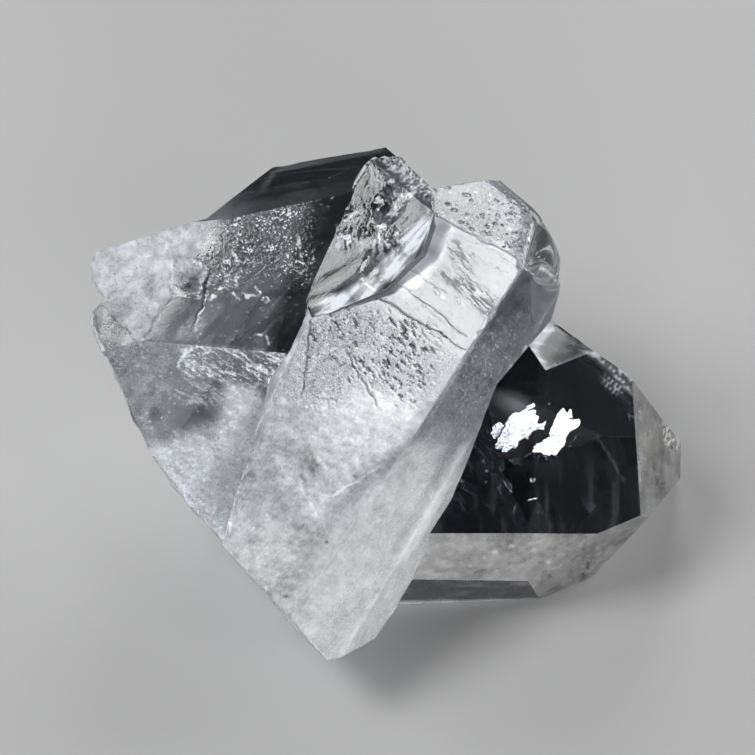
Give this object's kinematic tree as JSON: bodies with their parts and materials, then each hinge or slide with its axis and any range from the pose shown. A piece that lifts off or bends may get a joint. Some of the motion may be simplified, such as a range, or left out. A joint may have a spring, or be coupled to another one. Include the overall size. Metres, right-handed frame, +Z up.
{
  "type": "quartz cluster",
  "caption": "Cluster of clear quartz crystals grown together on a broken, milky root, lying on a flat cut.",
  "frame": {"origin": "a point on the flat cut that the cluster rests on, below its highest crystal", "axes": "+X along the cluster's length towards the clear crystal's tip, +Y away from the viewer, +Z up"},
  "size_m": [0.0922, 0.07, 0.0623],
  "materials": {
    "quartz": "clear crystal faces with etched, milky and frosted zones"
  },
  "bodies": {
    "root": {"quartz_cluster": "quartz"}
  },
  "joints": []
}
